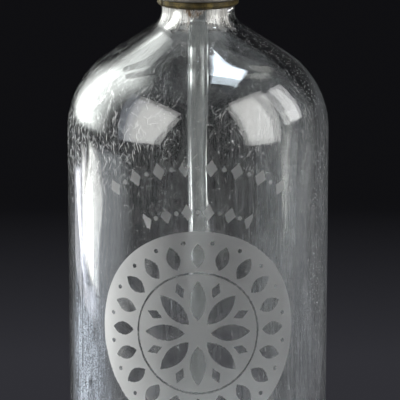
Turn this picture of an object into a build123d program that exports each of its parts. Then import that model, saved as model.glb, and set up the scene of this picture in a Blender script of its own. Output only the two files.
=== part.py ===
from build123d import *

import os
from math import cos, radians, sin, tan

# Soda siphon: a thick glass bottle with a metal dispensing head.
#
# The bottle stands on its foot ring at z = 0 and its axis is Z. A split collar grips the glass under its
# lip, and the head screws down on the collar. Soda rises through the dip tube to a valve seat in the head.
# Pressing the lever's tail lifts the piston off that seat against its spring, and the soda leaves by the
# spout. The spout points to -X and the lever to +X. All sizes are in millimetres.

# ---------------------------------------------------------------- driving dimensions
TOTAL_HEIGHT = 305.0
BODY_RADIUS = 50.0
BODY_WALL = 5.4
FIT = 0.05  # radial room of a running fit, and beside glass

# Bottle
SIDE_CORNER_Z = 205.83  # where the straight side and the shoulder cone would meet
SHOULDER_SLOPE = radians(33.0)  # of the shoulder cone, from the horizontal
SHOULDER_ROUND = 34.4
SHOULDER_WALL = 5.8
NECK_RADIUS = 13.85
NECK_BORE = 7.2
NECK_ROUND = 6.7
GRIP_RADIUS = 12.4  # the waist of the neck, which the collar grips
GRIP_FOOT_Z = 239.3
GRIP_TOP_Z = 249.5
LIP_RADIUS = 14.2
LIP_FOOT_Z = 251.3
MOUTH_Z = 256.0
FOOT_INNER_RADIUS = 35.0
HEEL_ROUND = 8.0
PUSH_UP = 5.0
PUSH_UP_RADIUS = 27.0
FLOOR_Z = 12.0
FLOOR_RISE = 3.5

# Dip tube and its holder
TUBE_RADIUS = 3.9
TUBE_BORE = 2.4
TUBE_FOOT_Z = 20.0
TUBE_TOP_Z = 251.5
TUBE_SLANT = 15.0  # degrees, across the tube's open foot
SLEEVE_RADIUS = 5.2
SLEEVE_FOOT_Z = 233.6
SLEEVE_TOP_Z = 252.0
HOLDER_RADIUS = 6.6
HOLDER_FOOT_Z = 236.0
HOLDER_SHOULDER_Z = 257.0
HOLDER_THREAD = 6.2
HOLDER_TOP_Z = 264.6
SEAT_BORE = 2.2
SEAT_RADIUS = 3.4
SEAT_Z = 265.8

# Collar
COLLAR_FOOT_Z = 235.0
COLLAR_BAND_TOP_Z = 237.6
COLLAR_TOP_Z = 250.9
COLLAR_BAND_RADIUS = 15.5
COLLAR_THREAD = 15.0
COLLAR_BORE = 13.35
COLLAR_MOUTH = 14.25  # the collar's bore at its foot, round the neck's cone
SEAM_ANGLE = 29.0  # degrees round Z, where the two halves meet
SEAM_GAP = 0.9

# Head body
SKIRT_FOOT_Z = 237.9
SKIRT_RADIUS = 16.8
SKIRT_BEAD = 17.5
SKIRT_BORE = 15.05
SKIRT_TOP_Z = 258.6
CEILING_Z = 258.0
BARREL_RADIUS = 12.2
BARREL_FOOT_Z = 266.0
BARREL_BEAD = 12.9
CAP_SEAT_Z = 289.5
CAP_THREAD = 9.8
CAP_THREAD_TOP_Z = 295.3
PISTON_BORE = 7.6
CHAMBER_RADIUS = 5.8
CHAMBER_FOOT_Z = 265.0
PACKING_Z = 275.0
FLUTES = 24
FLUTE_RADIUS = 1.3
FLUTE_ENDS = (242.8, 253.6)

# Spout
SPOUT_Z = 270.0
BOSS_RADIUS = 6.4
BOSS_END_X = -15.5
SPOUT_STRAIGHT = 8.5
SPOUT_BEND_RADIUS = 24.0
SPOUT_BEND = radians(62.0)
SPOUT_TAIL = 7.0
SPOUT_ROOT_RADIUS = 6.1
SPOUT_RADIUS = 5.1
SPOUT_END_RADIUS = 4.5
SPOUT_BORE = 2.4
SPIGOT_RADIUS = 4.2
SPIGOT_LENGTH = 4.5
NOZZLE_THREAD = 3.5
NOZZLE_THREAD_LENGTH = 5.0
NOZZLE_RADIUS = 4.6
NOZZLE_LENGTH = 7.0
OUTLET_RADIUS = 1.9

# Lever
PIVOT_X = 12.5
PIVOT_Z = 284.6
PIN_RADIUS = 1.5
PIN_HEAD = 2.5
PIN_HEAD_THICKNESS = 0.9
EYE_RADIUS = 4.3
EAR_OUTSIDE = 8.0  # half the distance over the ears
EAR_INSIDE = 5.0  # half the gap between them
SLOT_TOP_Z = 288.2
LEVER_HALF_WIDTH = 4.8
HUB_RADIUS = 3.7
NOSE_RADIUS = 1.7
FORK_DEPTH_X = 4.2
TAIL_START = (13.5, 285.2)  # (x, z) of the tail's centreline beside the hub
TAIL_BEND_RADIUS = 29.0
TAIL_RISE = 22.0  # degrees that the tail climbs at its start
TAIL_FALL = 84.0  # degrees that it points down after its bend
TAIL_SECTIONS = 8  # in the bend
TAIL_WIDTHS = (9.2, 15.2)  # at the start and the end of the bend
TAIL_THICKNESSES = (5.6, 3.6)
# Thumb pad, after the bend: (length along it, width, thickness)
PAD_SECTIONS = ((0, 15.2, 3.6), (6.5, 17.0, 3.2), (12.5, 15.0, 3.0), (15.5, 10.0, 2.6), (16.8, 5.0, 1.8))

# Piston
STEM_RADIUS = 2.4
STEM_NECK = 1.8
STEM_NECK_TOP_Z = 271.0
CUP_RADIUS = 5.0
CUP_FOOT_Z = 266.7
CUP_TOP_Z = 270.9
DISC_RADIUS = 4.3
DISC_TOP_Z = 268.1
PACKING_WASHER_TOP_Z = 277.0
PACKING_NUT_TOP_Z = 280.0
LIFT_COLLAR_Z = 286.4
LIFT_COLLAR_TOP_Z = 288.4
LIFT_COLLAR_RADIUS = 7.4
SPRING_RADIUS = 5.2
SPRING_WIRE = 0.6
SPRING_TURNS = 5.2

# Cap
CAP_RADIUS = 12.4
CAP_BEAD = 12.9
CAP_FOOT_Z = 290.1
CAP_CEILING_Z = 300.2
CAP_BUTTON = 3.6
CAP_BAND_ENDS = (292.4, 296.2)
CAP_GROOVES = 36


# ---------------------------------------------------------------- helpers
def turned(*corners):
    """A solid turned about Z. Each corner of its closed outline is (radius, z) or (radius, z, round)."""
    points = [corner[:2] for corner in corners]
    rounds = [corner[2] if len(corner) > 2 else 0 for corner in corners]
    outline = FilletPolyline(*points, radius=rounds, close=True)
    return revolve(Plane.XZ * make_face(outline), Axis.Z)


def rod(radius, z_low, z_high):
    """A cylinder on the Z axis."""
    return Pos(0, 0, (z_low + z_high) / 2) * Cylinder(radius, z_high - z_low)


def washer(radius, bore, z_low, z_high):
    return rod(radius, z_low, z_high) - rod(bore, z_low, z_high)


def rod_across(radius, y_low, y_high, x, z):
    """A cylinder along Y."""
    return Pos(x, (y_low + y_high) / 2, z) * Rot(90, 0, 0) * Cylinder(radius, y_high - y_low)


def rod_along(radius, x_low, x_high, z):
    """A cylinder along X."""
    return Pos((x_low + x_high) / 2, 0, z) * Rot(0, 90, 0) * Cylinder(radius, x_high - x_low)


def block(x_low, x_high, y_half, z_low, z_high):
    """A box that is centred on the XZ plane."""
    middle = Pos((x_low + x_high) / 2, 0, (z_low + z_high) / 2)
    return middle * Box(x_high - x_low, 2 * y_half, z_high - z_low)


# ---------------------------------------------------------------- bottle and dip tube
def shoulder_z(radius, depth=0.0):
    """Height of the shoulder cone at a radius, for a surface that lies depth inside the glass."""
    neck_corner_z = SIDE_CORNER_Z + (BODY_RADIUS - NECK_RADIUS) * tan(SHOULDER_SLOPE)
    return neck_corner_z - (radius - NECK_RADIUS) * tan(SHOULDER_SLOPE) - depth / cos(SHOULDER_SLOPE)


def bottle():
    inner = BODY_RADIUS - BODY_WALL
    return turned(
        (0, PUSH_UP),
        (PUSH_UP_RADIUS, PUSH_UP, 6),
        (FOOT_INNER_RADIUS, 0, 1.5),
        (BODY_RADIUS, 0, HEEL_ROUND),
        (BODY_RADIUS, SIDE_CORNER_Z, SHOULDER_ROUND),
        (NECK_RADIUS, shoulder_z(NECK_RADIUS), NECK_ROUND),
        (NECK_RADIUS, COLLAR_FOOT_Z + 0.3, 1),
        (GRIP_RADIUS, GRIP_FOOT_Z, 1),
        (GRIP_RADIUS, GRIP_TOP_Z, 0.8),
        (LIP_RADIUS, LIP_FOOT_Z, 0.8),
        (LIP_RADIUS, MOUTH_Z, 1.5),
        (NECK_BORE, MOUTH_Z, 1.2),
        (NECK_BORE, shoulder_z(NECK_BORE, SHOULDER_WALL), NECK_ROUND + SHOULDER_WALL),
        (inner, shoulder_z(inner, SHOULDER_WALL), SHOULDER_ROUND - BODY_WALL),
        (inner, FLOOR_Z, 10),
        (26, FLOOR_Z, 12),
        (16, FLOOR_Z + FLOOR_RISE, 10),
        (0, FLOOR_Z + FLOOR_RISE),
    )


def dip_tube():
    tube = washer(TUBE_RADIUS, TUBE_BORE, TUBE_FOOT_Z, TUBE_TOP_Z)
    slant = Pos(0, 0, TUBE_FOOT_Z - 4) * Rot(0, TUBE_SLANT, 0) * Box(20, 20, 10)
    return tube - slant


def tube_sleeve():
    return washer(SLEEVE_RADIUS, TUBE_RADIUS, SLEEVE_FOOT_Z, SLEEVE_TOP_Z)


def tube_holder():
    """A brass plug that clamps the sleeve and carries the valve seat on its top."""
    socket_top_z = SLEEVE_TOP_Z + 0.2
    holder = turned(
        (SLEEVE_RADIUS, HOLDER_FOOT_Z),
        (HOLDER_RADIUS, HOLDER_FOOT_Z, 0.5),
        (HOLDER_RADIUS, HOLDER_SHOULDER_Z),
        (HOLDER_THREAD, HOLDER_SHOULDER_Z),
        (HOLDER_THREAD, HOLDER_TOP_Z, 0.4),
        (SEAT_RADIUS + 0.5, HOLDER_TOP_Z),
        (SEAT_RADIUS, SEAT_Z, 0.3),
        (SEAT_BORE, SEAT_Z, 0.3),
        (SEAT_BORE, socket_top_z),
        (SLEEVE_RADIUS, socket_top_z),
    )
    spanner_slot = Pos(0, 0, HOLDER_FOOT_Z) * Box(2 * HOLDER_RADIUS + 1, 1.6, 3)
    return holder - spanner_slot


def holder_washer():
    return washer(NECK_BORE, HOLDER_THREAD + FIT, HOLDER_SHOULDER_Z, CEILING_Z)


def neck_gasket():
    return washer(LIP_RADIUS - 0.6, NECK_BORE + 0.2, MOUTH_Z, CEILING_Z)


# ---------------------------------------------------------------- collar
def collar_ring():
    """Both halves of the split collar as one ring, before the seam is cut."""
    return turned(
        (COLLAR_MOUTH, COLLAR_FOOT_Z),
        (COLLAR_BAND_RADIUS - 0.9, COLLAR_FOOT_Z),
        (COLLAR_BAND_RADIUS, COLLAR_FOOT_Z + 0.8, 0.3),
        (COLLAR_BAND_RADIUS, COLLAR_BAND_TOP_Z, 0.15),
        (COLLAR_THREAD, COLLAR_BAND_TOP_Z),
        (COLLAR_THREAD, COLLAR_TOP_Z, 0.3),
        (COLLAR_BORE + 0.9, COLLAR_TOP_Z - 0.8, 0.2),
        (COLLAR_BORE, COLLAR_TOP_Z - 1.8, 0.4),
        (COLLAR_BORE, 240.0, 0.6),
        (COLLAR_MOUTH, 236.8),
    )


def collar_half(side):
    """One half of the split collar: side is 1 or -1."""
    reach = 2 * COLLAR_BAND_RADIUS
    keep = Pos(0, side * (reach + SEAM_GAP) / 2, COLLAR_FOOT_Z) * Box(2 * reach, reach, 2 * reach)
    return collar_ring() & (Rot(0, 0, SEAM_ANGLE) * keep)


def collar_half_front():
    return collar_half(-1)


def collar_half_back():
    return collar_half(1)


def collar_liner():
    """The rubber band between the glass and the collar. Its head backs the lip of the glass."""
    glass = GRIP_RADIUS + FIT
    outside = COLLAR_BORE - FIT
    foot_outside = COLLAR_MOUTH - FIT
    foot_inside = NECK_RADIUS + FIT
    foot_z = COLLAR_FOOT_Z - 0.2
    return turned(
        (foot_inside, foot_z),
        (foot_outside, foot_z),
        (foot_outside, 236.7, 0.3),
        (outside, 239.8, 0.3),
        (outside, 249.3, 0.3),
        (outside + 0.7, 250.2),
        (outside + 0.4, 250.6),
        (glass, 249.4, 0.3),
        (glass, GRIP_FOOT_Z + 0.1, 0.3),
        (foot_inside, COLLAR_FOOT_Z + 0.5, 0.3),
    )


# ---------------------------------------------------------------- head body
def body_casting():
    """The turned form of the head, bored for the holder, the valve and the piston."""
    return turned(
        (SKIRT_BORE, SKIRT_FOOT_Z),
        (SKIRT_BEAD, SKIRT_FOOT_Z, 0.5),
        (SKIRT_BEAD, 240.9, 0.6),
        (SKIRT_RADIUS, 241.6, 0.3),
        (SKIRT_RADIUS, 254.8, 0.3),
        (SKIRT_BEAD, 255.5, 0.6),
        (SKIRT_BEAD, SKIRT_TOP_Z, 1.4),
        (14.2, 262.0, 2.6),
        (BARREL_RADIUS, BARREL_FOOT_Z, 2.2),
        (BARREL_RADIUS, 287.6, 0.4),
        (BARREL_BEAD, 288.3, 0.4),
        (BARREL_BEAD, CAP_SEAT_Z, 0.3),
        (CAP_THREAD, CAP_SEAT_Z),
        (CAP_THREAD, CAP_THREAD_TOP_Z, 0.4),
        (PISTON_BORE, CAP_THREAD_TOP_Z),
        (PISTON_BORE, PACKING_Z),
        (CHAMBER_RADIUS, PACKING_Z),
        (CHAMBER_RADIUS, CHAMBER_FOOT_Z),
        (HOLDER_THREAD, CHAMBER_FOOT_Z),
        (HOLDER_THREAD, CEILING_Z),
        (SKIRT_BORE, CEILING_Z),
    )


def skirt_flutes():
    """Round-ended grip flutes round the skirt."""
    flute = rod(FLUTE_RADIUS, *FLUTE_ENDS) + [Pos(0, 0, z) * Sphere(FLUTE_RADIUS) for z in FLUTE_ENDS]
    return [spot * flute for spot in PolarLocations(SKIRT_RADIUS + 0.7, FLUTES)]


def ears():
    """The two lugs that carry the lever's pin, before the slot between them is cut."""
    root = block(4, PIVOT_X, EAR_OUTSIDE, PIVOT_Z - EYE_RADIUS, PIVOT_Z + EYE_RADIUS)
    eye = rod_across(EYE_RADIUS, -EAR_OUTSIDE, EAR_OUTSIDE, PIVOT_X, PIVOT_Z)
    return root + eye


def lever_slot():
    """The way through the wall for the lever's nose, and the room for its hub and its tail."""
    nose_way = block(5, BARREL_BEAD, EAR_INSIDE, PIVOT_Z - 2.8, SLOT_TOP_Z)
    hub_room = rod_across(HUB_RADIUS + 0.4, -EAR_INSIDE, EAR_INSIDE, PIVOT_X, PIVOT_Z)
    outside = block(BARREL_BEAD, PIVOT_X + 8, EAR_INSIDE, PIVOT_Z - 5.2, PIVOT_Z + EYE_RADIUS + 1)
    return nose_way + hub_room + outside


def spout_boss():
    bead = rod_along(BOSS_RADIUS + 0.8, BOSS_END_X, BOSS_END_X + 2.2, SPOUT_Z)
    return rod_along(BOSS_RADIUS, BOSS_END_X + 1, -8, SPOUT_Z) + fillet(bead.edges(), 0.7)


def head_body():
    inside = rod(PISTON_BORE, PACKING_Z, CAP_THREAD_TOP_Z) + rod(CHAMBER_RADIUS, 264, PACKING_Z + 1)
    body = body_casting() + (ears() - inside) + (spout_boss() - inside)
    body -= lever_slot()
    body -= rod_across(PIN_RADIUS, -EAR_OUTSIDE, EAR_OUTSIDE, PIVOT_X, PIVOT_Z)
    body -= rod_along(SPIGOT_RADIUS, BOSS_END_X, BOSS_END_X + SPIGOT_LENGTH, SPOUT_Z)
    body -= rod_along(SPOUT_BORE, BOSS_END_X, -4, SPOUT_Z)
    return body - skirt_flutes()


def pin_head(side):
    """A low domed head: side is 1 or -1 along Y."""
    outer_y = side * (EAR_OUTSIDE + PIN_HEAD_THICKNESS)
    ends = sorted((side * EAR_OUTSIDE, outer_y))
    head = rod_across(PIN_HEAD, *ends, PIVOT_X, PIVOT_Z)
    rim = head.edges().sort_by(Axis.Y)[-1 if side > 0 else 0]
    return fillet(rim, 0.6)


def lever_pin():
    shank = rod_across(PIN_RADIUS, -EAR_OUTSIDE, EAR_OUTSIDE, PIVOT_X, PIVOT_Z)
    return shank + pin_head(-1) + pin_head(1)


# ---------------------------------------------------------------- spout
def spout_plane(turn):
    """The plane across the spout where its bend has turned by an angle, facing the way the soda flows."""
    x = BOSS_END_X - SPOUT_STRAIGHT - SPOUT_BEND_RADIUS * sin(turn)
    z = SPOUT_Z - SPOUT_BEND_RADIUS * (1 - cos(turn))
    return Plane((x, 0, z), x_dir=(0, 1, 0), z_dir=(-cos(turn), 0, -sin(turn)))


def spout_bend():
    """The centreline of the bend."""
    stops = [spout_plane(share * SPOUT_BEND).origin for share in (0, 0.5, 1)]
    return Wire([ThreePointArc(*stops)])


def spout_root():
    """The straight stretch beside the boss, flared where it meets it. It is turned about Z, boss end up."""
    return turned(
        (0, 0),
        (SPOUT_RADIUS, 0),
        (SPOUT_RADIUS, SPOUT_STRAIGHT - 4, 8),
        (SPOUT_ROOT_RADIUS, SPOUT_STRAIGHT, 0.4),
        (0, SPOUT_STRAIGHT),
    )


def spout():
    start = spout_plane(0)
    end = spout_plane(SPOUT_BEND)
    rings = [start * Circle(SPOUT_RADIUS), end * Circle(SPOUT_END_RADIUS)]
    bend = sweep(rings, path=spout_bend(), multisection=True)
    root = Pos(start.origin) * Rot(0, 90, 0) * spout_root()
    spigot = rod_along(SPIGOT_RADIUS, BOSS_END_X, BOSS_END_X + SPIGOT_LENGTH, SPOUT_Z)
    thread_end = SPOUT_TAIL + NOZZLE_THREAD_LENGTH
    tail = end.location * (rod(SPOUT_END_RADIUS, 0, SPOUT_TAIL) + rod(NOZZLE_THREAD, 0, thread_end))
    tube = root + bend + spigot + tail
    tube -= sweep(start * Circle(SPOUT_BORE), path=spout_bend())
    tube -= rod_along(SPOUT_BORE, BOSS_END_X - SPOUT_STRAIGHT, BOSS_END_X + SPIGOT_LENGTH, SPOUT_Z)
    return tube - end.location * rod(SPOUT_BORE, 0, thread_end)


def spout_tip():
    """The nozzle that screws on the spout's end."""
    bead = NOZZLE_RADIUS + 0.3
    tip = turned(
        (NOZZLE_THREAD, 0),
        (bead, 0, 0.3),
        (bead, 1.6, 0.3),
        (NOZZLE_RADIUS, 1.9),
        (NOZZLE_RADIUS, NOZZLE_LENGTH, 1.0),
        (OUTLET_RADIUS + 0.8, NOZZLE_LENGTH, 0.3),
        (OUTLET_RADIUS, NOZZLE_LENGTH - 0.8),
        (OUTLET_RADIUS, NOZZLE_THREAD_LENGTH),
        (NOZZLE_THREAD, NOZZLE_THREAD_LENGTH),
    )
    return spout_plane(SPOUT_BEND).offset(SPOUT_TAIL).location * tip


# ---------------------------------------------------------------- lever
def tail_plane(share, beyond=0.0):
    """The plane across the tail after a share of its bend, or further on along the straight thumb pad."""
    rise = radians(TAIL_RISE)
    fall = share * radians(TAIL_FALL + TAIL_RISE) - rise
    x = TAIL_START[0] + TAIL_BEND_RADIUS * (sin(fall) + sin(rise)) + beyond * cos(fall)
    z = TAIL_START[1] + TAIL_BEND_RADIUS * (cos(fall) - cos(rise)) - beyond * sin(fall)
    return Plane((x, 0, z), x_dir=(0, 1, 0), z_dir=(cos(fall), 0, -sin(fall)))


def tail_section(plane, width, thickness):
    return plane * RectangleRounded(width, thickness, 0.42 * thickness)


def lever_tail():
    """The tail widens slowly at first and then quickly, while it gets evenly thinner."""
    sections = []
    for number in range(TAIL_SECTIONS):
        share = number / TAIL_SECTIONS
        width = TAIL_WIDTHS[0] + (TAIL_WIDTHS[1] - TAIL_WIDTHS[0]) * share**3
        thickness = TAIL_THICKNESSES[0] + (TAIL_THICKNESSES[1] - TAIL_THICKNESSES[0]) * share
        sections.append(tail_section(tail_plane(share), width, thickness))
    for beyond, width, thickness in PAD_SECTIONS:
        sections.append(tail_section(tail_plane(1, beyond), width, thickness))
    return loft(sections)


def lever():
    hub = rod_across(HUB_RADIUS, -LEVER_HALF_WIDTH, LEVER_HALF_WIDTH, PIVOT_X, PIVOT_Z)
    nose = block(0, PIVOT_X, LEVER_HALF_WIDTH, PIVOT_Z - NOSE_RADIUS, PIVOT_Z + NOSE_RADIUS)
    nose_end = rod_across(NOSE_RADIUS, -LEVER_HALF_WIDTH, LEVER_HALF_WIDTH, 0, PIVOT_Z)
    fork_gap = block(-3, FORK_DEPTH_X, STEM_RADIUS + 0.3, PIVOT_Z - 4, PIVOT_Z + 4)
    pin_hole = rod_across(PIN_RADIUS + FIT, -EAR_OUTSIDE, EAR_OUTSIDE, PIVOT_X, PIVOT_Z)
    return hub + nose + nose_end + lever_tail() - fork_gap - pin_hole


# ---------------------------------------------------------------- piston and valve
def piston_stem():
    """The stem, with the collar that the lever lifts and a pilot inside the spring."""
    return turned(
        (0, DISC_TOP_Z + 0.5),
        (STEM_NECK, DISC_TOP_Z + 0.5, 0.3),
        (STEM_NECK, STEM_NECK_TOP_Z),
        (STEM_RADIUS, STEM_NECK_TOP_Z, 0.3),
        (STEM_RADIUS, LIFT_COLLAR_Z),
        (LIFT_COLLAR_RADIUS, LIFT_COLLAR_Z, 0.4),
        (LIFT_COLLAR_RADIUS, LIFT_COLLAR_TOP_Z, 0.4),
        (3.4, LIFT_COLLAR_TOP_Z),
        (3.0, LIFT_COLLAR_TOP_Z + 3, 0.6),
        (0, LIFT_COLLAR_TOP_Z + 3),
    )


def valve_head():
    """The cup on the stem's foot that holds the rubber disc."""
    return turned(
        (STEM_NECK, DISC_TOP_Z),
        (DISC_RADIUS, DISC_TOP_Z),
        (DISC_RADIUS, CUP_FOOT_Z),
        (CUP_RADIUS, CUP_FOOT_Z, 0.2),
        (CUP_RADIUS, CUP_TOP_Z - 1.1, 0.5),
        (STEM_NECK + 1.8, CUP_TOP_Z, 0.2),
        (STEM_NECK, CUP_TOP_Z),
    )


def valve_disc():
    return rod(DISC_RADIUS, SEAT_Z, DISC_TOP_Z)


def packing_washer():
    return washer(PISTON_BORE - FIT, STEM_RADIUS + FIT, PACKING_Z, PACKING_WASHER_TOP_Z)


def packing_nut():
    """The nut that presses the packing down, with two holes for a pin spanner."""
    nut = washer(PISTON_BORE, STEM_RADIUS + 0.15, PACKING_WASHER_TOP_Z, PACKING_NUT_TOP_Z)
    spanner_hole = rod(0.9, PACKING_NUT_TOP_Z - 1.8, PACKING_NUT_TOP_Z)
    return nut - [spot * spanner_hole for spot in PolarLocations(5.2, 2, start_angle=90)]


def valve_spring():
    """A coil spring between the lifting collar and the cap, ground flat at both ends."""
    height = CAP_CEILING_Z - LIFT_COLLAR_TOP_Z
    coil = Helix(height / SPRING_TURNS, height, SPRING_RADIUS, center=(0, 0, LIFT_COLLAR_TOP_Z))
    section = Plane(coil @ 0, x_dir=(1, 0, 0), z_dir=coil % 0) * Circle(SPRING_WIRE)
    wire = sweep(section, path=coil, is_frenet=True)
    return wire & rod(SPRING_RADIUS + 2 * SPRING_WIRE, LIFT_COLLAR_TOP_Z, CAP_CEILING_Z)


# ---------------------------------------------------------------- cap
def cap_washer():
    return washer(CAP_RADIUS - 0.1, CAP_THREAD + FIT, CAP_SEAT_Z, CAP_FOOT_Z)


def spring_cap():
    """The screwed cap that holds the spring down, with a grooved grip band and a button on its dome."""
    band_low, band_high = CAP_BAND_ENDS
    cap = turned(
        (CAP_THREAD, CAP_FOOT_Z),
        (CAP_BEAD, CAP_FOOT_Z, 0.4),
        (CAP_BEAD, band_low - 0.8, 0.4),
        (CAP_RADIUS, band_low - 0.2, 0.2),
        (CAP_RADIUS, band_high + 0.2, 0.2),
        (CAP_BEAD, band_high + 0.8, 0.4),
        (CAP_BEAD, 298.4, 0.9),
        (10.4, 301.4, 6.0),
        (CAP_BUTTON, 303.2, 0.6),
        (CAP_BUTTON, TOTAL_HEIGHT, 1.0),
        (0, TOTAL_HEIGHT),
        (0, CAP_CEILING_Z),
        (PISTON_BORE, CAP_CEILING_Z),
        (PISTON_BORE, CAP_THREAD_TOP_Z + 0.5),
        (CAP_THREAD, CAP_THREAD_TOP_Z + 0.5),
    )
    groove = rod(0.8, band_low, band_high)
    return cap - [spot * groove for spot in PolarLocations(CAP_RADIUS + 0.4, CAP_GROOVES)]


# ---------------------------------------------------------------- write every piece
PIECES = (
    bottle,
    dip_tube,
    tube_sleeve,
    tube_holder,
    holder_washer,
    neck_gasket,
    collar_half_front,
    collar_half_back,
    collar_liner,
    head_body,
    spout,
    spout_tip,
    lever_pin,
    lever,
    piston_stem,
    valve_head,
    valve_disc,
    packing_washer,
    packing_nut,
    valve_spring,
    cap_washer,
    spring_cap,
)

os.makedirs("parts", exist_ok=True)
for piece in PIECES:
    export_step(piece(), f"parts/{piece.__name__}.step")
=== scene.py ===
from math import ceil, cos, pi, radians, sin, tan

import bpy
from mathutils import Matrix, Vector


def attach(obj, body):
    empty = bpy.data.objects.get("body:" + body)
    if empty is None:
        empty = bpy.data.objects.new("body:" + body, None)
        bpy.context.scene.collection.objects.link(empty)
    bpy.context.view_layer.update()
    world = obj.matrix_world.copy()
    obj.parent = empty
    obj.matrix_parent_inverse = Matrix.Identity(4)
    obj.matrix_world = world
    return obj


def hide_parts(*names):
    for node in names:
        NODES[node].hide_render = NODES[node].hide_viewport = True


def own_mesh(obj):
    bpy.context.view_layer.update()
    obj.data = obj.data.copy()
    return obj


# The looks of the soda siphon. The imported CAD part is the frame; the glass and the spring are modelled
# again here as smooth meshes, and the other CAD nodes get finishes. Outlines and finishes are in
# millimetres. Lights and the camera are in metres.

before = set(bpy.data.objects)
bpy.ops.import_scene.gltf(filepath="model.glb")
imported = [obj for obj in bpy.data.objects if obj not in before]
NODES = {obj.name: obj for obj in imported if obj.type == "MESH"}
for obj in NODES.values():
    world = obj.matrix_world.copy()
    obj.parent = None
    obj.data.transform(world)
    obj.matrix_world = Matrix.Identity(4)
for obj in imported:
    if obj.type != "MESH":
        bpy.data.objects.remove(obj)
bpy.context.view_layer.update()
MM = 0.001

# ---------------------------------------------------------------- sizes
BODY_RADIUS = 50.0
BODY_WALL = 5.4
SHOULDER_WALL = 5.8
SHOULDER_SLOPE = radians(33.0)
# Where the side and the shoulder would meet if the corner between them weren't rounded
SIDE_CORNER_Z = 205.83
SHOULDER_ROUND = 34.4
NECK_RADIUS = 13.85
NECK_BORE = 7.2
NECK_ROUND = 6.7
MOUTH_Z = 256.0

TUBE_RADIUS = 3.9
TUBE_BORE = 2.4
TUBE_FOOT_Z = 21.2
TUBE_TOP_Z = 251.5
TUBE_SLANT = radians(15)

SPRING_FOOT_Z = 288.4
SPRING_TOP_Z = 300.2
SPRING_TURNS = 5.2
SPRING_RADIUS = 5.2
WIRE_RADIUS = 0.6

FLOOR_RADIUS = 235.0
FLOOR_THICKNESS = 8.0

# How finely the turned meshes are divided
GLASS_SEGMENTS = 240
TUBE_SEGMENTS = 64
FLOOR_SEGMENTS = 128
ARC_STEP = radians(5)

# ---------------------------------------------------------------- etched ornament
# The middle of the roundel is at this height on the front. Its measures are taken along the glass.
ROUNDEL_Z = 119.0
ROUNDEL_RADIUS = 38.8
# The clear line round the rosette: its radius and half its width
CLEAR_RING = 23.0
CLEAR_RING_HALF = 0.35
# Friezes above the roundel: distance from its middle, motifs to a full ring, the angle to each side of
# the top that they reach, and half the width and height of a lozenge
FRIEZES = ((46.0, 36, radians(26), 2.2, 3.2), (62.5, 40, radians(35), 2.4, 3.4))
FRIEZE_DOT_RADIUS = 0.9

# ---------------------------------------------------------------- worn and dirty zones, and where light and shade are painted
# Heights, and places round the body as a distance from its front, which is positive towards the lever
RUBBED_FOOT_Z = 168.0
RUBBED_TOP_Z = 216.0
LEFT_FLANK = -60.0
RIGHT_FLANK = 62.0
FILM_TOP_Z = 158.0
DENSE_FILM_TOP_Z = 126.0
DULL_BACK_SIDE = 118.0
DULL_BACK_FOOT_Z = 70.0
DULL_BACK_TOP_Z = 206.0
# The painted reflections on the neck start at this height
NECK_GLINT_FOOT_Z = 232.0
RESIDUE_FOOT_Z = 237.2
# The metal is darker below this height
DARKER_METAL_Z = 247.0
# Layers of fine scratches: the angle, in radians, and the length and width
SCRATCHES = ((0.25, 3.2, 0.13), (-0.35, 2.4, 0.12), (0.9, 3.6, 0.10), (2.2, 1.8, 0.10), (0.05, 2.2, 0.15))

# ---------------------------------------------------------------- colours of the glass and what is on it
CLEAR_GLASS = (0.97, 0.98, 0.975, 1)
ETCHED_GLASS = (0.74, 0.74, 0.735, 1)
WATER_FILM = (0.70, 0.76, 0.86, 1)
# White of the painted reflections on the neck
NECK_GLINT_WHITE = (0.80, 0.79, 0.75, 1)
BROWN_RESIDUE = (0.10, 0.055, 0.02, 1)
INNER_GLASS = (0.96, 0.97, 0.975, 1)
INNER_FILM = (0.7, 0.73, 0.8, 1)
TUBE_GLASS = (0.95, 0.96, 0.95, 1)
TUBE_FILM = (0.86, 0.88, 0.87, 1)

# ---------------------------------------------------------------- light
WHITE = (1.0, 1.0, 1.0)
WARM = (1.0, 1.0, 0.98)
SUNNY = (1.0, 0.995, 0.95)
GREENISH = (0.96, 1.0, 0.97)
LAVENDER = (0.93, 0.93, 1.0)
COOL = (0.90, 0.95, 1.0)
SKY = (0.80, 0.90, 1.0)
DUSK = (0.82, 0.88, 1.0)

CAMERA_ELEVATION = radians(12)
CAMERA_DISTANCE = 1.05
CAMERA_TARGET = Vector((0.00077, 0, 0.159))
FOCAL_LENGTH = 245.2


# ---------------------------------------------------------------- outlines and turned meshes
def rounded(corners):
    """The points of an outline. A corner is (radius, z) or (radius, z, round)."""
    line = [Vector(corners[0][:2])]
    for before, corner, after in zip(corners, corners[1:], corners[2:]):
        here = Vector(corner[:2])
        if len(corner) < 3:
            line.append(here)
            continue
        back = (Vector(before[:2]) - here).normalized()
        on = (Vector(after[:2]) - here).normalized()
        half = back.angle(on) / 2
        middle = here + (back + on).normalized() * corner[2] / sin(half)
        first = (here + back * corner[2] / tan(half) - middle).normalized()
        last = (here + on * corner[2] / tan(half) - middle).normalized()
        count = ceil((pi - 2 * half) / ARC_STEP)
        line += [middle + corner[2] * first.slerp(last, number / count) for number in range(count + 1)]
    return line + [Vector(corners[-1][:2])]


def divided(line, longest):
    """The same outline with its long runs divided."""
    points = [line[0]]
    for start, end in zip(line, line[1:]):
        count = ceil((end - start).length / longest)
        points += [start.lerp(end, number / count) for number in range(1, count + 1)]
    return points


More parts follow.
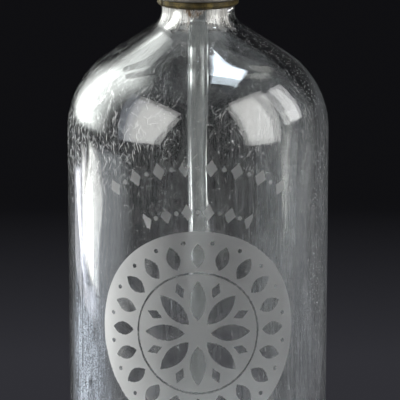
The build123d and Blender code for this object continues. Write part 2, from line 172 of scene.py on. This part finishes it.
def turned_mesh(name, line, segments, place=None):
    """A smooth mesh turned about Z from an outline in millimetres. place(number, angle, radius, z) may
    move a point of the outline, and returns its radius and height."""
    rings = []
    points = []
    for number, (radius, z) in enumerate(line):
        count = 1 if radius < 1e-6 else segments
        rings.append(range(len(points), len(points) + count))
        for step in range(count):
            angle = 2 * pi * step / segments
            at_radius, at_z = place(number, angle, radius, z) if place else (radius, z)
            points.append((at_radius * cos(angle) * MM, at_radius * sin(angle) * MM, at_z * MM))
    faces = []
    for low, high in zip(rings, rings[1:]):
        for step in range(segments):
            after = (step + 1) % segments
            corners = [
                low[step % len(low)], low[after % len(low)], high[after % len(high)], high[step % len(high)]
            ]
            faces.append(list(dict.fromkeys(corners)))
    mesh = bpy.data.meshes.new(name)
    mesh.from_pydata(points, [], faces)
    mesh.shade_smooth()
    return mesh


def piece(name, mesh, body, slot, *replaced):
    """An object that rides on a body and stands for CAD nodes, which it hides. Its slot is not used."""
    made = bpy.data.objects.new(name, mesh)
    bpy.context.scene.collection.objects.link(made)
    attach(made, body)
    if replaced:
        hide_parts(*replaced)
    return made


# ---------------------------------------------------------------- shader nodes
class Field:
    """A number, vector or colour that varies from point to point: an output socket of a node."""

    def __init__(self, tree, socket):
        self.tree = tree
        self.socket = socket

    def __add__(self, other):
        return self.tree.math("ADD", self, other)

    def __radd__(self, other):
        return self.tree.math("ADD", other, self)

    def __sub__(self, other):
        return self.tree.math("SUBTRACT", self, other)

    def __rsub__(self, other):
        return self.tree.math("SUBTRACT", other, self)

    def __mul__(self, other):
        return self.tree.math("MULTIPLY", self, other)

    def __rmul__(self, other):
        return self.tree.math("MULTIPLY", other, self)

    def __truediv__(self, other):
        return self.tree.math("DIVIDE", self, other)

    def __abs__(self):
        return self.tree.math("ABSOLUTE", self)

    def __pow__(self, other):
        return self.tree.math("POWER", self, other)


class Tree:
    """The nodes of a material, a light or the world."""

    def __init__(self, node_tree):
        self.nodes = node_tree.nodes
        self.links = node_tree.links

    def node(self, kind, *inputs, **settings):
        made = self.nodes.new(kind)
        for name, value in settings.items():
            setattr(made, name, value)
        for number, value in enumerate(inputs):
            self.plug(value, made.inputs[number])
        return made

    def plug(self, value, socket):
        if isinstance(value, Field):
            self.links.new(value.socket, socket)
        elif value is not None:
            socket.default_value = value

    def math(self, operation, *values):
        return Field(self, self.node("ShaderNodeMath", *values, operation=operation).outputs[0])

    def clamp(self, value):
        return Field(self, self.node("ShaderNodeClamp", value).outputs[0])

    def below(self, value, limit, soft):
        """1 where value is below a limit and 0 above it, over a soft edge."""
        return self.clamp((limit - value) / soft + 0.5)

    def above(self, value, limit, soft):
        return self.clamp((value - limit) / soft + 0.5)

    def near(self, value, middle, reach, soft):
        """1 within reach of a middle value and 0 beyond it, over a soft edge."""
        return self.below(abs(value - middle), reach, soft)

    def highest(self, fields):
        """The highest of several fields at each point."""
        top = fields[0]
        for field in fields[1:]:
            top = self.math("MAXIMUM", top, field)
        return top

    def vector(self, x, y, z):
        return Field(self, self.node("ShaderNodeCombineXYZ", x, y, z).outputs[0])

    def split(self, value):
        """The three numbers of a vector."""
        outputs = self.node("ShaderNodeSeparateXYZ", value).outputs
        return [Field(self, outputs[number]) for number in range(3)]

    def noise(self, at, scale=1.0, detail=3.0, rough=0.55):
        """Noise from 0 to 1 that is mostly near 0.5."""
        made = self.node("ShaderNodeTexNoise")
        for name, value in (("Vector", at), ("Scale", scale), ("Detail", detail), ("Roughness", rough)):
            self.plug(value, made.inputs[name])
        return Field(self, made.outputs[0])

    def cells(self, at, scale=1.0, dimensions="3D"):
        """Distance to the nearest of many scattered points, and a random number for each point."""
        made = self.node("ShaderNodeTexVoronoi", voronoi_dimensions=dimensions)
        self.plug(at, made.inputs["Vector"])
        self.plug(scale, made.inputs["Scale"])
        chance = self.node("ShaderNodeSeparateColor", Field(self, made.outputs["Color"])).outputs[0]
        return Field(self, made.outputs["Distance"]), Field(self, chance)

    def specks(self, at, scale, size, share, dimensions="3D"):
        """1 on small spots, one in each of a share of the cells of a scattered grid."""
        distance, chance = self.cells(at, scale, dimensions)
        return self.below(distance, size, size * 0.6) * self.below(chance, share, 0.02)

    def scratches(self, across, along, turn, length, width, share):
        """1 on fine short lines that lie at an angle on a surface: spots of a grid that is drawn out."""
        spot = 0.1
        bend = self.noise(self.vector(across, along, turn), 0.08, 1.0) * 8.0
        first = across * cos(turn) - along * sin(turn) + bend + turn * 90.0
        second = across * sin(turn) + along * cos(turn)
        at = self.vector(first * (2 * spot / width), second * (2 * spot / length), 0.0)
        return self.specks(at, 1.0, spot, share, "2D")

    def mix(self, share, low, high):
        """A colour between two colours."""
        made = self.node("ShaderNodeMix", data_type="RGBA")
        for name, value in (("Factor_Float", share), ("A_Color", low), ("B_Color", high)):
            self.plug(value, next(s for s in made.inputs if s.identifier == name))
        return Field(self, next(s for s in made.outputs if s.identifier == "Result_Color"))


class Look(Tree):
    """A material in the making: a Principled shader and the nodes that feed it."""

    def __init__(self, name, **plain):
        self.material = bpy.data.materials.new(name)
        self.material.use_nodes = True
        super().__init__(self.material.node_tree)
        self.shader = self.nodes["Principled BSDF"]
        self.set(**plain)

    def set(self, **values):
        for socket, value in values.items():
            self.plug(value, self.shader.inputs[socket.replace("_", " ")])

    def place(self):
        """The point's own coordinates (x, y, z), in millimetres."""
        at = Field(self, self.node("ShaderNodeTexCoord").outputs["Object"])
        return [part * (1 / MM) for part in self.split(at)]

    def edges(self, radius):
        """1 along outside and inside edges, and a normal that rounds them."""
        rounded_edge = Field(self, self.node("ShaderNodeBevel", radius).outputs[0])
        flat = Field(self, self.node("ShaderNodeNewGeometry").outputs["Normal"])
        turn = self.node("ShaderNodeVectorMath", rounded_edge, flat, operation="DOT_PRODUCT").outputs["Value"]
        return self.clamp((1.0 - Field(self, turn)) * 7.0), rounded_edge

    def corners(self, reach):
        """1 deep in corners and grooves, from ambient occlusion: where painted shade goes."""
        made = self.node("ShaderNodeAmbientOcclusion", samples=8)
        made.inputs["Distance"].default_value = reach
        return self.clamp((1.0 - Field(self, made.outputs["AO"])) * 2.2 - 0.7)

    def bump(self, height, distance, normal=None):
        made = self.node("ShaderNodeBump")
        for name, value in (("Height", height), ("Distance", distance), ("Normal", normal)):
            self.plug(value, made.inputs[name])
        self.set(Normal=Field(self, made.outputs[0]))


def grey(value):
    return (value, value, value, 1)


# ---------------------------------------------------------------- etching
def around(look, x, y):
    """Distance round the bottle from its front, in millimetres along the glass."""
    return look.math("ARCTAN2", x, y * -1.0) * BODY_RADIUS


def spokes(look, angle, far, count, ring, between=0):
    """Position (across, out) within the nearest of count motifs that stand on a ring. between is 1 for a
    ring that is turned by half the space from one motif to the next."""
    pitch = 2 * pi / count
    share = look.math("FRACT", (angle + between * pitch / 2) / pitch + 0.5) - 0.5
    return share * pitch * far, far - ring


def lozenge(look, across, out, half_width, half_height):
    return look.below(abs(across) / half_width + abs(out) / half_height, 1.0, 0.12)


def petal(look, across, out, half_width, half_height):
    width = 1.0 - (out / half_height) ** 2.0
    inside = look.below(abs(out), half_height, 0.2)
    return look.below(abs(across) / half_width - width, 0.0, 0.12) * inside


def dot(look, across, out, radius):
    return look.below(look.math("SQRT", across * across + out * out), radius, 0.15)


def roundel_motifs(look, angle, far):
    """1 on the clear motifs."""
    return look.highest([
        # The wreath: 20 petals, and a dot between each two of them
        petal(look, *spokes(look, angle, far, 20, 29.6), 2.5, 4.6),
        dot(look, *spokes(look, angle, far, 20, 34.6, 1), 0.8),
        # The rosette: 8 petals, and a lozenge between each two of them
        petal(look, *spokes(look, angle, far, 8, 12.4), 3.1, 7.6),
        lozenge(look, *spokes(look, angle, far, 8, 17.6, 1), 1.7, 3.2),
        # The line between the wreath and the rosette
        look.near(far, CLEAR_RING, CLEAR_RING_HALF, 0.12),
    ])


def friezes(look, angle, far):
    """1 on two curved rows of lozenges and dots."""
    rows = []
    for ring, count, span, half_width, half_height in FRIEZES:
        within = look.below(abs(angle), span, 0.004)
        between = spokes(look, angle, far, count, ring, 1)
        rows.append(lozenge(look, *between, half_width, half_height) * within)
        rows.append(dot(look, *spokes(look, angle, far, count, ring), FRIEZE_DOT_RADIUS) * within)
    return look.highest(rows)


def etched_pattern(look, x, y, z):
    """1 where the glass is etched: a roundel with clear motifs in it, and two friezes above it."""
    ragged = look.noise(look.vector(x, y, z), 1.6, 3.0) - 0.5
    side = around(look, x, y) + ragged * 0.9
    up = z - ROUNDEL_Z + ragged * 0.7
    far = look.math("SQRT", side * side + up * up)
    angle = look.math("ARCTAN2", side, up)
    fade = look.noise(look.vector(side, up, 0.0), 0.09, 2.0)
    flecks = look.specks(look.vector(x, y, z), 1.1, 0.3, 0.25)

    clear = roundel_motifs(look, angle, far) * look.clamp(fade * 2.2 - 0.1) * (1.0 - flecks * 0.4)
    roundel = look.below(far, ROUNDEL_RADIUS, 0.12) * (1.0 - clear)
    faint = look.clamp(fade * 1.2 + 0.25)
    return look.math("MAXIMUM", roundel, friezes(look, angle, far) * faint)


# ---------------------------------------------------------------- wear and dirt on the glass
def scratched(look, side, z, worn, rubbed):
    """Fine scratches, thickest and strongest on the left flank of the rubbed band."""
    left = look.near(side, LEFT_FLANK, 28.0, 36.0)
    share = 0.04 + worn * 0.06 + rubbed * (left * 0.42 + 0.03)
    layers = [look.scratches(side, z, turn, length, width, share) for turn, length, width in SCRATCHES]
    return look.highest(layers) * look.clamp(0.35 + worn * 0.3 + rubbed * left * 0.6)


def dusty(look, side, at, patches):
    """Coarse dust in patches, and fine dust that is thickest on the right flank."""
    right = look.near(side, RIGHT_FLANK, 22.0, 30.0)
    coarse = look.specks(at, 0.8, 0.16, 0.3) * look.clamp(patches * 3.0 - 0.7)
    fine = look.specks(at, 1.5, 0.24, 0.3) * look.clamp(patches + right * 0.6 - 0.25)
    return look.math("MAXIMUM", coarse, fine)


def water_film(look, side, z, at):
    """The film that hard water leaves on both flanks: grainy, in streaks, with clear tracks down it."""
    flank = look.above(abs(side), 40.0, 16.0) * look.below(abs(side), 61.0, 10.0)
    low = look.below(z, FILM_TOP_Z, 70.0)
    left = look.below(side, 0.0, 20.0) * (0.65 + look.below(z, DENSE_FILM_TOP_Z, 40.0) * 1.5)
    streak = look.noise(look.vector(side * 0.7, z * 0.05, 5.0), 1.0, 4.0, 0.6)
    grain = look.noise(at, 1.9, 2.0, 0.7)
    film = flank * low * (0.25 + left) * look.clamp(streak * 2.4 - 0.6) * look.clamp(grain * 4.0 - 1.4)

    path = look.noise(look.vector(side * 0.16, z * 0.018, 11.0), 1.0, 4.0, 0.6)
    broken = look.clamp(look.noise(look.vector(side, z, 2.0), 0.35, 3.0) * 5.0 - 1.9)
    track = look.near(path, 0.5, 0.006, 0.008) * broken
    return film * (1.0 - track) * 0.45


def neck_painted_glints(look, side, z):
    """Painted reflections: white upright streaks on both sides of the neck, standing in for the bright
    reflections there.
    """
    streak = look.noise(look.vector(side * 0.35, z * 0.06, 4.0), 1.0, 3.0, 0.6)
    left = look.near(side, -42.0, 27.0, 10.0)
    right = look.near(side, 30.0, 17.0, 8.0) * 0.75
    foot = look.above(z + streak * 6.0, NECK_GLINT_FOOT_Z, 5.0)
    return (left + right) * foot * look.clamp(streak * 4.0 - 1.2) * 0.75


def dull_back(look, side, z):
    """How far both faces are dulled by dirt at the back, on the lever's side."""
    smear = look.noise(look.vector(side * 0.5, z * 0.12, 6.0), 0.25, 5.0, 0.6)
    spread = look.near(side + (smear - 0.5) * 24.0, DULL_BACK_SIDE, 20.0, 34.0)
    height = look.below(z, DULL_BACK_TOP_Z, 40.0) * look.above(z, DULL_BACK_FOOT_Z, 60.0)
    return spread * height * (0.4 + smear) * 0.26


def residue(look, side, z):
    """Brown deposits under the collar that hang lower at the front, and a rust run below them."""
    cloud = look.noise(look.vector(side, z, 9.0), 0.7, 4.0)
    hanging = look.near(side, -6.0, 12.0, 14.0)
    ring = look.above(z + cloud * 4.0 + hanging * 3.4, RESIDUE_FOOT_Z, 1.2)
    run = look.near(side + cloud * 2.0, -11.0, 1.6, 2.0) * look.above(z + cloud * 6.0, 231.0, 4.0)
    return look.clamp(ring * look.clamp(cloud * 4.0 - 1.3) + run * 0.7)


# ---------------------------------------------------------------- glass finishes
def bottle_outside():
    """Clear old glass with etching, dust, scratches, and scuffs where bottles rub together, with painted
    reflections on the neck and painted light on the etching's left.
    """
    look = Look("bottle_outside", IOR=1.52, Coat_Roughness=0.22)
    x, y, z = look.place()
    at = look.vector(x, y, z)
    side = around(look, x, y)
    etched = etched_pattern(look, x, y, z)
    grain = look.noise(look.vector(side, z, 0.0), 3.0, 2.0)

    patches = look.noise(at, 0.06, 3.0)
    rubbed = look.above(z, RUBBED_FOOT_Z, 22.0) * look.below(z, RUBBED_TOP_Z, 24.0)
    worn = look.clamp((patches - 0.44) * 4.0) * (rubbed * 0.8 + 0.2)
    lines = scratched(look, side, z, worn, rubbed)
    marks = look.clamp(lines * 0.85 + dusty(look, side, at, patches) * 0.6)

    # The water film, and the painted reflections on the neck
    film_and_glints = look.math("MAXIMUM", water_film(look, side, z, at), neck_painted_glints(look, side, z))
    stain = residue(look, side, z)
    veil = look.below(z, 196.0, 30.0) * 0.018
    # Painted light: the etching lets least light through, and so looks whitest, at the roundel's left, where
    # light from the left falls on it; it lets more through in the friezes above it, and most elsewhere
    etch_density_and_painted_light = 0.10 + look.below(side, -26.0, 36.0) * (0.70 - look.above(z, 161.0, 6.0) * 0.48)

    # The water film's colour, and white for the painted reflections high on the neck
    film_and_glint_colour = look.mix(look.above(z, 215.0, 20.0), WATER_FILM, NECK_GLINT_WHITE)
    clear = look.mix(look.clamp(film_and_glints * 5.0), CLEAR_GLASS, film_and_glint_colour)
    clean = look.mix(etched, clear, ETCHED_GLASS)
    rough = etched * (0.34 + grain * 0.12) + marks * 0.35 + stain * 0.5 + dull_back(look, side, z)
    look.set(
        Base_Color=look.mix(stain, clean, BROWN_RESIDUE),
        Roughness=look.clamp(rough),
        Transmission_Weight=look.clamp(0.998 - veil - film_and_glints - etched * etch_density_and_painted_light - marks * 0.85 - stain * 0.7),
        Coat_Weight=look.clamp(0.02 + worn * 0.15 + rubbed * 0.05),
    )
    look.bump(marks * -1.0, 0.02 * MM)
    return look.material


def bottle_inside():
    """The inner face, with the haze and the runs that hard water leaves."""
    look = Look("bottle_inside", IOR=1.52)
    x, y, z = look.place()
    side = around(look, x, y)
    runs = look.noise(look.vector(side * 0.55, z * 0.03, 0.0), 1.0, 5.0, 0.7)
    drips = look.noise(look.vector(side * 1.3, z * 0.12, 7.0), 1.0, 3.0, 0.6)
    patches = look.noise(look.vector(side, z, 3.0), 0.03, 3.0)
    low = look.below(z, 175.0, 60.0)
    film = look.clamp((runs - 0.47) * 5.0) * look.clamp(patches * 3.0 - 1.0) * (low * 0.85 + 0.15)
    film = film * look.below(z, 208.0, 20.0)
    film = look.clamp(film + look.clamp((drips - 0.6) * 8.0) * low * 0.5)
    look.set(
        Base_Color=look.mix(film, INNER_GLASS, INNER_FILM),
        Roughness=look.clamp(film * 0.3 + dull_back(look, side, z)),
        Transmission_Weight=look.clamp(0.996 - film * 0.2),
    )
    return look.material


def clear_tube():
    look = Look("tube_glass", IOR=1.5)
    x, y, z = look.place()
    film = look.noise(look.vector(x * 0.5, y * 0.5, z * 0.05), 1.0, 4.0)
    look.set(
        Base_Color=look.mix(film, TUBE_GLASS, TUBE_FILM),
        Roughness=look.clamp(film * 0.2 - 0.06),
        Transmission_Weight=look.clamp(1.0 - film * 0.22),
    )
    return look.material


# ---------------------------------------------------------------- glass pieces
def shoulder_z(radius, depth=0.0):
    """Height of the shoulder cone at a radius, for a surface that lies depth inside the glass."""
    neck_corner_z = SIDE_CORNER_Z + (BODY_RADIUS - NECK_RADIUS) * tan(SHOULDER_SLOPE)
    return neck_corner_z - (radius - NECK_RADIUS) * tan(SHOULDER_SLOPE) - depth / cos(SHOULDER_SLOPE)


def glass_bottle():
    inner = BODY_RADIUS - BODY_WALL
    line = rounded([
        # The push-up and the foot ring
        (0, 5.0),
        (27, 5.0, 6),
        (35, 0, 1.5),
        (BODY_RADIUS, 0, 8),
        # The side, the shoulder and the neck
        (BODY_RADIUS, SIDE_CORNER_Z, SHOULDER_ROUND),
        (NECK_RADIUS, shoulder_z(NECK_RADIUS), NECK_ROUND),
        (NECK_RADIUS, 235.3, 1),
        # The waist for the collar, the lip and the mouth
        (12.4, 239.3, 1),
        (12.4, 249.5, 0.8),
        (14.2, 251.3, 0.8),
        (14.2, MOUTH_Z, 1.5),
        (NECK_BORE, MOUTH_Z, 1.2),
        # The inner face, down to the floor over the push-up
        (NECK_BORE, shoulder_z(NECK_BORE, SHOULDER_WALL), NECK_ROUND + SHOULDER_WALL),
        (inner, shoulder_z(inner, SHOULDER_WALL), SHOULDER_ROUND - BODY_WALL),
        (inner, 12, 10),
        (26, 12, 12),
        (16, 15.5, 10),
        (0, 15.5),
    ])
    line = divided(line, 3.0)
    # The inner face starts at the highest point of the outline that is nearest the axis
    mouth = max(range(len(line)), key=lambda number: (round(line[number].y, 3), -line[number].x))

    def wavy(number, angle, radius, z):
        """Blown glass: its inner face waves a little round the body, less towards the neck and the floor."""
        if number <= mouth or radius < 20:
            return radius, z
        wave = 0.12 * sin(3 * angle + 0.9 + z / 31) + 0.09 * sin(5 * angle + 2.1 - z / 17)
        wave += 0.06 * sin(9 * angle + z / 11)
        return radius + wave * min(1, (radius - 20) / 20) * min(1, z / 40), z

    mesh = turned_mesh("glass_bottle", line, GLASS_SEGMENTS, wavy)
    mesh.materials.append(bottle_outside())
    mesh.materials.append(bottle_inside())
    for face in mesh.polygons:
        face.material_index = int(face.index >= mouth * GLASS_SEGMENTS)
    return piece("glass_bottle", mesh, "root", "clear_glass", "bottle")


def glass_dip_tube():
    line = divided([
        Vector((TUBE_BORE, TUBE_FOOT_Z)),
        Vector((TUBE_RADIUS, TUBE_FOOT_Z)),
        Vector((TUBE_RADIUS, TUBE_TOP_Z)),
        Vector((TUBE_BORE, TUBE_TOP_Z)),
        Vector((TUBE_BORE, TUBE_FOOT_Z)),
    ], 20.0)

    def slanted(number, angle, radius, z):
        """The slant of the foot, which is gone 20 mm above it."""
        share = max(0.0, 1 - (z - TUBE_FOOT_Z) / 20)
        return radius, z - tan(TUBE_SLANT) * radius * cos(angle) * share

    mesh = turned_mesh("glass_dip_tube", line, TUBE_SEGMENTS, slanted)
    mesh.materials.append(clear_tube())
    mesh.set_sharp_from_angle(angle=radians(40))
    return piece("glass_dip_tube", mesh, "root", "tube_glass", "dip_tube")


# ---------------------------------------------------------------- spring
def coil_spring():
    """The valve spring: closed end coils, ground flat."""
    steps = 360
    sides = 14
    rise = [min(1.0, 0.25 + min(step, steps - step) / steps * 5.0) for step in range(steps)]
    gain = (SPRING_TOP_Z - SPRING_FOOT_Z - WIRE_RADIUS * 1.2) / sum(rise)
    points = []
    z = SPRING_FOOT_Z + WIRE_RADIUS * 0.6
    for step in range(steps + 1):
        angle = 2 * pi * SPRING_TURNS * step / steps
        for side in range(sides):
            lean = 2 * pi * side / sides
            out = SPRING_RADIUS + WIRE_RADIUS * cos(lean)
            height = min(SPRING_TOP_Z, max(SPRING_FOOT_Z, z + WIRE_RADIUS * sin(lean)))
            points.append((out * cos(angle) * MM, out * sin(angle) * MM, height * MM))
        z += gain * rise[step] if step < steps else 0
    faces = [tuple(range(sides - 1, -1, -1)), tuple(range(steps * sides, steps * sides + sides))]
    for step in range(steps):
        for side in range(sides):
            after = (side + 1) % sides
            here = step * sides
            faces.append((here + side, here + after, here + sides + after, here + sides + side))
    mesh = bpy.data.meshes.new("coil_spring")
    mesh.from_pydata(points, [], faces)
    mesh.shade_smooth()
    mesh.set_sharp_from_angle(angle=radians(50))
    mesh.materials.append(FINISHES["steel"])
    made = piece("coil_spring", mesh, "root", "steel", "valve_spring")
    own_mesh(made)


# ---------------------------------------------------------------- metal and seal finishes
def aged_metal(name, bright, dull, dark, bare, rough, dark_share):
    """Metal with a dull film, dark spots, painted shade deep in its corners, a darker foot, and edges worn to
    a bare colour.
    """
    look = Look(name)
    x, y, z = look.place()
    at = look.vector(x, y, z)
    cloud = look.noise(at, 0.25, 5.0)
    fine = look.noise(at, 2.2, 4.0)
    streaks = look.noise(look.vector(x * 2.0, y * 2.0, z * 0.2), 0.6, 4.0)
    edge, rounded_normal = look.edges(0.5 * MM)
    worn = look.clamp(edge * (cloud * 2.2 - 0.45))
    # Painted shade: darker deep in corners and grooves, in patches
    corner = look.corners(3.5 * MM)
    film = look.clamp(cloud * 2.4 + streaks * 0.8 - 1.1)
    spots = look.above(fine * 0.5 + cloud * 0.5, 0.5 + dark_share, 0.08)
    # Darker below a height
    foot = look.below(z, DARKER_METAL_Z, 8.0) * (0.5 + cloud * 0.5)
    # Dark spots, painted shade in corners, and the darker foot
    grime_and_shade = look.clamp(spots + corner * (fine * 1.6 - 0.1) + foot)
    colour = look.mix(worn, look.mix(film, bright, dull), bare)
    look.set(
        Base_Color=look.mix(grime_and_shade, colour, dark),
        Roughness=look.clamp(rough + film * 0.12 + grime_and_shade * 0.2 + fine * 0.08 - worn * 0.06),
        Metallic=look.clamp(1.0 - grime_and_shade * 0.5),
    )
    look.bump(fine * 0.6 + cloud, 0.06 * MM, rounded_normal)
    return look.material


def soft_seal(name, colour, dusty_colour):
    look = Look(name, Roughness=0.7)
    x, y, z = look.place()
    cloud = look.noise(look.vector(x, y, z), 0.5, 5.0)
    look.set(Base_Color=look.mix(look.clamp(cloud * 2.0 - 0.6), colour, dusty_colour))
    look.bump(cloud, 0.1 * MM)
    return look.material


FINISHES = {
    "brass": aged_metal(
        "aged_brass",
        bright=(0.36, 0.27, 0.09, 1),
        dull=(0.15, 0.115, 0.04, 1),
        dark=(0.045, 0.034, 0.012, 1),
        bare=(0.60, 0.47, 0.20, 1),
        rough=0.24,
        dark_share=0.02,
    ),
    "head_metal": aged_metal(
        "head_metal",
        bright=(0.50, 0.49, 0.465, 1),
        dull=(0.30, 0.29, 0.27, 1),
        dark=(0.055, 0.048, 0.04, 1),
        bare=(0.58, 0.47, 0.25, 1),
        rough=0.24,
        dark_share=0.12,
    ),
    "steel": aged_metal(
        "steel",
        bright=grey(0.5),
        dull=grey(0.35),
        dark=(0.12, 0.08, 0.05, 1),
        bare=grey(0.6),
        rough=0.3,
        dark_share=0.1,
    ),
    "rubber": soft_seal("rubber", (0.02, 0.016, 0.013, 1), (0.09, 0.07, 0.055, 1)),
    "fibre": soft_seal("fibre", (0.28, 0.05, 0.03, 1), (0.16, 0.04, 0.03, 1)),
    "leather": soft_seal("leather", (0.2, 0.09, 0.04, 1), (0.1, 0.05, 0.025, 1)),
}


def dress_nodes():
    """Each CAD node takes the finish that is named like its material slot."""
    for node in NODES.values():
        slot_name = node.data.materials[0].name.split(".")[0] if node.data.materials else None
        if slot_name in FINISHES:
            for slot in node.material_slots:
                slot.material = FINISHES[slot_name]


# ---------------------------------------------------------------- floor and backdrop
def floor():
    rim = 1.0
    line = [
        Vector((0, -FLOOR_THICKNESS)),
        Vector((FLOOR_RADIUS - rim, -FLOOR_THICKNESS)),
        Vector((FLOOR_RADIUS, rim - FLOOR_THICKNESS)),
        Vector((FLOOR_RADIUS, -rim)),
        Vector((FLOOR_RADIUS - rim, 0)),
        Vector((0, 0)),
    ]
    mesh = turned_mesh("floor", line, FLOOR_SEGMENTS)
    mesh.set_sharp_from_angle(angle=radians(40))
    look = Look("pale_floor", Roughness=0.8)
    x, y, z = look.place()
    cloud = look.noise(look.vector(x, y, z), 0.02, 3.0)
    look.set(Base_Color=look.mix(cloud, grey(0.38), grey(0.44)))
    mesh.materials.append(look.material)
    made = bpy.data.objects.new("floor", mesh)
    bpy.context.scene.collection.objects.link(made)


def dark_backdrop():
    """A dark studio round the object. It gets a little lighter from 12 to 15 degrees under the horizon."""
    world = bpy.data.worlds.new("studio")
    world.use_nodes = True
    tree = Tree(world.node_tree)
    direction = Field(tree, tree.node("ShaderNodeTexCoord").outputs["Generated"])
    ramp = tree.node("ShaderNodeValToRGB", tree.split(direction)[2] + 0.5)
    stops = ramp.color_ramp.elements
    stops[0].position, stops[0].color = 0.236, (0.030, 0.030, 0.036, 1)
    stops[1].position, stops[1].color = 0.290, (0.005, 0.005, 0.006, 1)
    tree.plug(Field(tree, ramp.outputs[0]), tree.nodes["Background"].inputs[0])
    bpy.context.scene.world = world


# ---------------------------------------------------------------- lights
def fade(side=0.25, top=0.25, foot=0.25, rim=0.0, top_lean=0.0, foot_lean=0.0):
    """How a light fades towards its edges: the share of its width for its sides, the shares of its height
    for its top and its foot, and the share of its light that is left at its rim. A leaning edge comes
    further in towards one side, or towards the other if the lean is negative."""
    return side, top, foot, rim, top_lean, foot_lean


def soften(light, side, top, foot, rim, top_lean, foot_lean):
    """Fades a light towards its edges, as fade() says."""
    light.use_nodes = True
    tree = Tree(light.node_tree)
    across, up, _ = tree.split(Field(tree, tree.node("ShaderNodeNewGeometry").outputs["Parametric"]))
    beside = across - 0.5
    rise = up - beside * foot_lean - abs(foot_lean) / 2
    fall = 1.0 - up - beside * top_lean - abs(top_lean) / 2
    edges = [tree.clamp(edge) for edge in ((0.5 - abs(beside)) / side, rise / foot, fall / top)]
    at_sides, at_foot, at_top = [edge * edge * (3.0 - 2.0 * edge) for edge in edges]
    level = at_sides * at_foot * at_top
    tree.plug(rim + level * (1.0 - rim), tree.nodes["Emission"].inputs["Strength"])


def panel(name, centre, across, up, width, height, radiance, colour=WHITE, soft=None):
    """A soft light. It faces away from across x up, and its middle is at centre, in metres."""
    light = bpy.data.lights.new(name, "AREA")
    light.shape = "RECTANGLE"
    light.size = width
    light.size_y = height
    light.energy = radiance * pi * width * height
    light.color = colour
    if soft:
        soften(light, *soft)
    made = bpy.data.objects.new(name, light)
    bpy.context.scene.collection.objects.link(made)
    across = Vector(across).normalized()
    up = Vector(up).normalized()
    back = across.cross(up)
    made.matrix_world = Matrix.Translation(centre) @ Matrix((across, up, back)).transposed().to_4x4()
    made.visible_camera = False


def bearing(degrees):
    """The level direction from the bottle. 0 is towards the camera and 90 towards +X."""
    return Vector((sin(radians(degrees)), -cos(radians(degrees)), 0))


def softbox(name, near, far, width, radiance, colour=WHITE, soft=None, shift=0.0):
    """A softbox that stands upright or leans over the bottle. near and far are (bearing, distance,
    height) of the middles of its two level edges. shift moves it along those edges."""
    top = bearing(near[0]) * near[1] + Vector((0, 0, near[2]))
    bottom = bearing(far[0]) * far[1] + Vector((0, 0, far[2]))
    up = top - bottom
    middle = (top + bottom) / 2
    across = Vector((-up.y, up.x, 0))
    if up.xy.length < 1e-6 * up.length:
        across = Vector((-middle.y, middle.x, 0))
    if across.cross(up).xy.dot(middle.xy) < 0:
        across = -across
    panel(name, middle + across.normalized() * shift, across, up, width, up.length, radiance, colour, soft)


def upright(name, at, distance, top, foot, width, radiance, colour, soft):
    """A softbox that stands upright at a bearing."""
    softbox(name, (at, distance, top), (at, distance, foot), width, radiance, colour, soft)


def studio_lights():
    """The lights stand where the highlights of the photograph reflect them."""
    # Two large windows lean over the bottle, and each has a smaller one beside it
    near, far = (-44, 0.47, 0.65), (-54, 1.05, 0.15)
    softbox("softbox_left", near, far, 0.51, 5.6, WARM, fade(0.12, 0.12, 0.2, 0.65), 0.055)
    softbox("softbox_wing", near, far, 0.11, 2.4, DUSK, fade(rim=0.8), -0.255)
    softbox("softbox_right", (57, 0.42, 0.68), (59, 0.70, 0.14), 0.38, 5.6, WARM, fade(0.12, 0.12, 0.2, 0.6))
    softbox("softbox_far_right", (101, 0.50, 0.64), (96, 0.60, 0.295), 0.20, 4.0)

    # A tall lamp behind the left side, and under it low cards for the band down the left edge of the glass
    card_fade = fade(0.16, 0.35, 0.12, top_lean=0.3, foot_lean=-0.22)
    edge_fade = fade(0.08, 0.06, 0.06, foot_lean=-0.3)
    foot_fade = fade(0.15, 0.1, 0.3, foot_lean=-0.4)
    softbox("left_lamp", (-119, 0.40, 1.05), (-119, 0.54, 0.155), 0.76, 5.0, GREENISH, fade(0.4, 0.4, 0.08))
    upright("left_card", -108, 0.40, 0.127, 0.034, 0.140, 8.5, SUNNY, card_fade)
    upright("left_edge", -126.5, 0.40, 0.102, 0.026, 0.105, 1.9, LAVENDER, edge_fade)
    upright("left_foot", -107, 0.40, 0.042, 0.017, 0.155, 2.6, LAVENDER, foot_fade)

    # Dim walls beside the bottle, and one behind it
    wall_fade = fade(0.2, 0.1, 0.6)
    upright("left_wall", -84, 0.45, 0.112, -0.02, 0.36, 1.3, COOL, wall_fade)
    upright("right_wall", 92, 0.40, 0.112, -0.02, 0.50, 0.10, COOL, wall_fade)
    upright("right_back", 150, 0.60, 0.30, -0.12, 0.55, 0.05, COOL, fade(0.2, 0.2, 0.2))

    # Overhead, to the right and a little behind
    panel(
        "ceiling_light", (0.31, 0.175, 1.2), (1, 0, 0), (0, 1, 0), 0.42, 0.375,
        radiance=23.0, colour=SKY, soft=fade(0.2, 0.25, 0.12)
    )


def camera():
    lens = bpy.data.cameras.new("camera")
    lens.sensor_width = 36
    lens.lens = FOCAL_LENGTH
    made = bpy.data.objects.new("camera", lens)
    bpy.context.scene.collection.objects.link(made)
    away = Vector((0, -cos(CAMERA_ELEVATION), sin(CAMERA_ELEVATION)))
    made.location = CAMERA_TARGET + CAMERA_DISTANCE * away
    made.rotation_euler = (pi / 2 - CAMERA_ELEVATION, 0, 0)
    bpy.context.scene.camera = made


dress_nodes()
glass_bottle()
glass_dip_tube()
coil_spring()
floor()
dark_backdrop()
studio_lights()
camera()
bpy.context.scene.view_settings.view_transform = "Standard"
